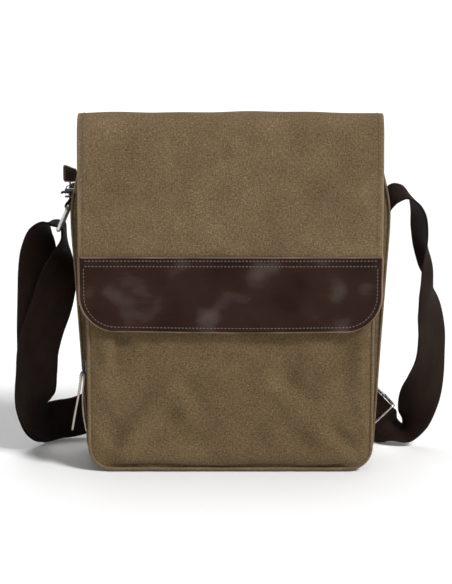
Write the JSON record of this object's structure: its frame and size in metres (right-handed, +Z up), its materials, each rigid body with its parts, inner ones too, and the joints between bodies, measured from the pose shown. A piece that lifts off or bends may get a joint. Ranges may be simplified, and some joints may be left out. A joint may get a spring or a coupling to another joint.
{
  "type": "messenger bag",
  "caption": "Upright canvas messenger bag with a fold-over flap banded in leather, zipped front and main compartments, and an adjustable webbing shoulder strap.",
  "frame": {"origin": "centre of the flat underside of the main compartment", "axes": "+Z up, -Y towards the flap's face and the front of the bag, +X to the right as seen from the front"},
  "size_m": [0.4246, 0.1397, 0.3376],
  "materials": {
    "canvas": "washed olive-brown cotton canvas",
    "lining": "plain woven lining",
    "leather": "smooth dark brown, semi-gloss",
    "webbing": "dark brown woven webbing",
    "zip_tape": "dark brown zip tape",
    "zip_metal": "dark nickel",
    "nickel": "polished nickel plate",
    "board": "plain stiffener"
  },
  "bodies": {
    "bag": {"back_panel": "canvas", "back_piping": "canvas", "back_pocket_welt": "canvas", "back_zip_coil": "zip_metal", "back_zip_tape": "zip_tape", "base_board": "board", "base_panel": "canvas", "flap_seam_strip": "canvas", "front_base": "canvas", "front_left_side": "canvas", "front_panel": "canvas", "front_piping": "canvas", "front_right_side": "canvas", "front_zip_coil_inner": "zip_metal", "front_zip_coil_outer": "zip_metal", "front_zip_tape_inner": "zip_tape", "front_zip_tape_outer": "zip_tape", "inner_wall": "canvas", "left_gusset": "canvas", "main_lining": "lining", "main_zip_tail": "zip_tape", "padded_divider": "lining", "pen_slot_1": "lining", "pen_slot_2": "lining", "right_gusset": "canvas", "rivet_left": "nickel", "rivet_right": "nickel", "sleeve_tab": "webbing", "slip_pocket": "lining", "snap_left_socket": "nickel", "snap_right_socket": "nickel"},
    "flap_top": {"flap_top_canvas": "canvas", "flap_top_lining": "lining"},
    "flap_front": {"flap_canvas": "canvas", "flap_lining": "lining", "leather_band": "leather", "snap_left_stud": "nickel", "snap_right_stud": "nickel"},
    "strap": {"tab_left": "webbing", "ring_left": "nickel", "strap_right": "webbing", "strap_behind_inner": "webbing", "strap_left_inner": "webbing", "strap_ring_turn": "webbing", "strap_left_outer": "webbing", "strap_behind_outer": "webbing"},
    "strap_slider": {"strap_slider": "nickel", "strap_end_wrap": "webbing"},
    "main_zip_slider": {"main_zip_slider": "zip_metal"},
    "main_zip_pull": {"main_zip_link": "zip_metal", "main_zip_pull": "leather"},
    "main_zip_front_side": {"main_zip_tape_front": "zip_tape", "main_zip_coil_front": "zip_metal"},
    "main_zip_rear_side": {"main_zip_tape_rear": "zip_tape", "main_zip_coil_rear": "zip_metal"},
    "front_zip_slider": {"front_zip_slider": "zip_metal"},
    "front_zip_pull": {"front_zip_link": "zip_metal", "front_zip_pull": "leather"},
    "back_zip_slider": {"back_zip_slider": "zip_metal"},
    "back_zip_pull": {"back_zip_pull": "leather"}
  },
  "joints": [
    {"name": "flap_open", "type": "hinge", "parent": "bag", "child": "flap_top", "pos_m": [0, 0.0372, 0.3216], "axis": [-1, 0, 0], "range_deg": [0, 200]},
    {"name": "flap_unfold", "type": "hinge", "parent": "flap_top", "child": "flap_front", "pos_m": [0, -0.0379, 0.3326], "axis": [-1, 0, 0], "range_deg": [0, 84]},
    {"name": "strap_swing", "type": "hinge", "parent": "bag", "child": "strap", "pos_m": [-0.15, 0.019, 0.257], "axis": [0.9993, 0.01, -0.0366], "range_deg": [0, 180]},
    {"name": "strap_adjust", "type": "slide", "parent": "strap", "child": "strap_slider", "axis": [-0.7071, 0, 0.7071], "range_m": [0, 0.04]},
    {"name": "main_zip_slide", "type": "slide", "parent": "bag", "child": "main_zip_slider", "axis": [0.9974, 0.0716, 0], "range_m": [0, 0.262]},
    {"name": "main_zip_front_swing", "type": "hinge", "parent": "bag", "child": "main_zip_front_side", "pos_m": [-0.138, -0.0135, 0.262], "axis": [0, 0, 1], "range_deg": [0, 4.9]},
    {"name": "main_zip_rear_swing", "type": "hinge", "parent": "bag", "child": "main_zip_rear_side", "pos_m": [-0.138, -0.0135, 0.262], "axis": [0, 0, -1], "range_deg": [0, 4.4]},
    {"name": "main_zip_pull_turn", "type": "hinge", "parent": "main_zip_slider", "child": "main_zip_pull", "pos_m": [-0.15, -0.01436, 0.2664], "axis": [0, 1, 0], "range_deg": [-60, 60]},
    {"name": "front_zip_slide", "type": "slide", "parent": "bag", "child": "front_zip_slider", "axis": [0, 0, 1], "range_m": [0, 0.115]},
    {"name": "front_zip_pull_turn", "type": "hinge", "parent": "front_zip_slider", "child": "front_zip_pull", "pos_m": [-0.13758, -0.0355, 0.1024], "axis": [0, 1, 0], "range_deg": [0, 120]},
    {"name": "back_zip_slide", "type": "slide", "parent": "bag", "child": "back_zip_slider", "axis": [1, 0, 0], "range_m": [0, 0.156]},
    {"name": "back_zip_pull_turn", "type": "hinge", "parent": "back_zip_slider", "child": "back_zip_pull", "pos_m": [-0.078, 0.04609, 0.236], "axis": [1, 0, 0], "range_deg": [0, 120]}
  ],
  "couplings": [
    {"joint": "flap_unfold", "follows": "flap_open", "ratio": 0.42},
    {"joint": "main_zip_front_swing", "follows": "main_zip_slide", "rad_per_m": 0.32536},
    {"joint": "main_zip_rear_swing", "follows": "main_zip_slide", "rad_per_m": 0.29131}
  ]
}
